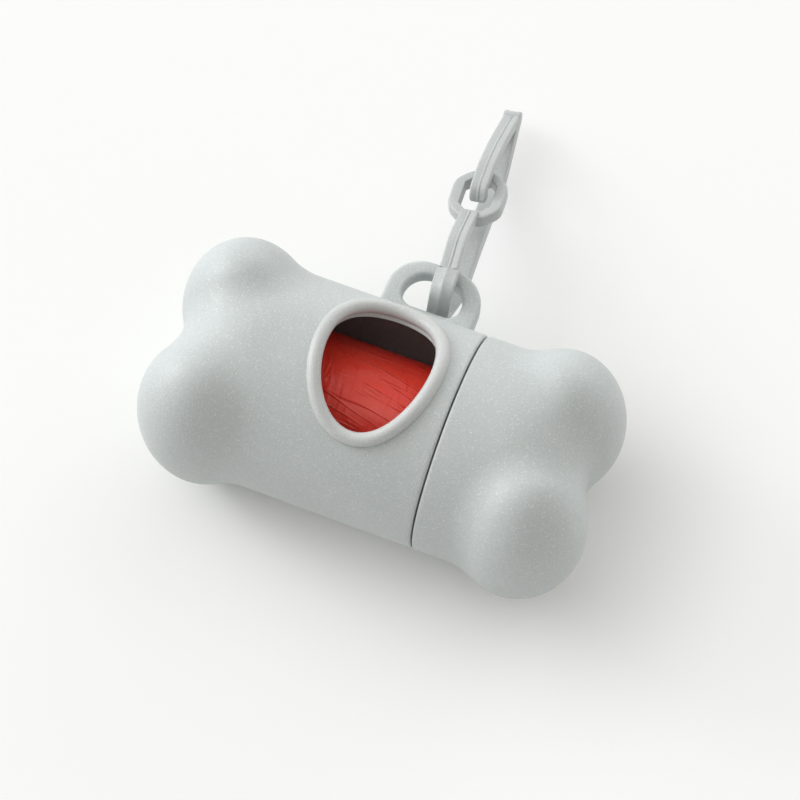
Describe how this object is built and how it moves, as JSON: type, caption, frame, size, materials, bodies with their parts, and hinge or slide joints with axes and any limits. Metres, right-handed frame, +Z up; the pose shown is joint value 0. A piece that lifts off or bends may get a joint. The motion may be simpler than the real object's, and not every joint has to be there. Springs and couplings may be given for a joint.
{
  "type": "dog waste bag dispenser",
  "caption": "Bone-shaped case for a roll of dog waste bags, with a screw-off cap, a rimmed window to draw bags through, and a sprung clip in a lug.",
  "frame": {"origin": "on the surface the case lies on, under the middle of its straight part", "axes": "+X along the case to the screw cap, +Y to the lug and clip, +Z up through the window"},
  "size_m": [0.0834, 0.0971, 0.0413],
  "materials": {
    "case_plastic": "satin, fine pale flecks",
    "rim_plastic": "satin",
    "neck_plastic": "satin",
    "clip_plastic": "satin, slightly translucent",
    "core_card": "uncoated board",
    "bag_film": "creased glossy film"
  },
  "bodies": {
    "case": {"body_upper_shell": "case_plastic", "body_lower_shell": "case_plastic", "window_rim": "rim_plastic", "neck_collar": "neck_plastic"},
    "thread": {"cap_thread_ring": "neck_plastic"},
    "cap": {"cap_upper_shell": "case_plastic", "cap_lower_shell": "case_plastic"},
    "clip": {"clip_frame": "clip_plastic"},
    "gate": {"clip_gate": "clip_plastic"},
    "roll": {"roll_core": "core_card", "bag_roll": "bag_film"}
  },
  "joints": [
    {"name": "cap_slide", "type": "slide", "parent": "case", "child": "thread", "axis": [1, 0, 0], "range_m": [0, 0.006]},
    {"name": "cap_turn", "type": "hinge", "parent": "thread", "child": "cap", "pos_m": [0.0164, 0, 0.02], "axis": [1, 0, 0], "range_deg": [0, 540]},
    {"name": "clip_swing", "type": "hinge", "parent": "case", "child": "clip", "pos_m": [0.0004, 0.02975, 0.02], "axis": [1, 0, 0], "range_deg": [-70, 120]},
    {"name": "gate_flex", "type": "hinge", "parent": "clip", "child": "gate", "pos_m": [0.00139, 0.03022, 0.02322], "axis": [0.9827, 0.1224, 0.1392], "range_deg": [-9, 0], "stiffness_Nm_per_rad": 0.02},
    {"name": "roll_turn", "type": "hinge", "parent": "case", "child": "roll", "pos_m": [-0.001, 0, 0.01725], "axis": [1, 0, 0], "continuous": true}
  ],
  "couplings": [
    {"joint": "cap_slide", "follows": "cap_turn", "m_per_rad": 0.00063662}
  ]
}
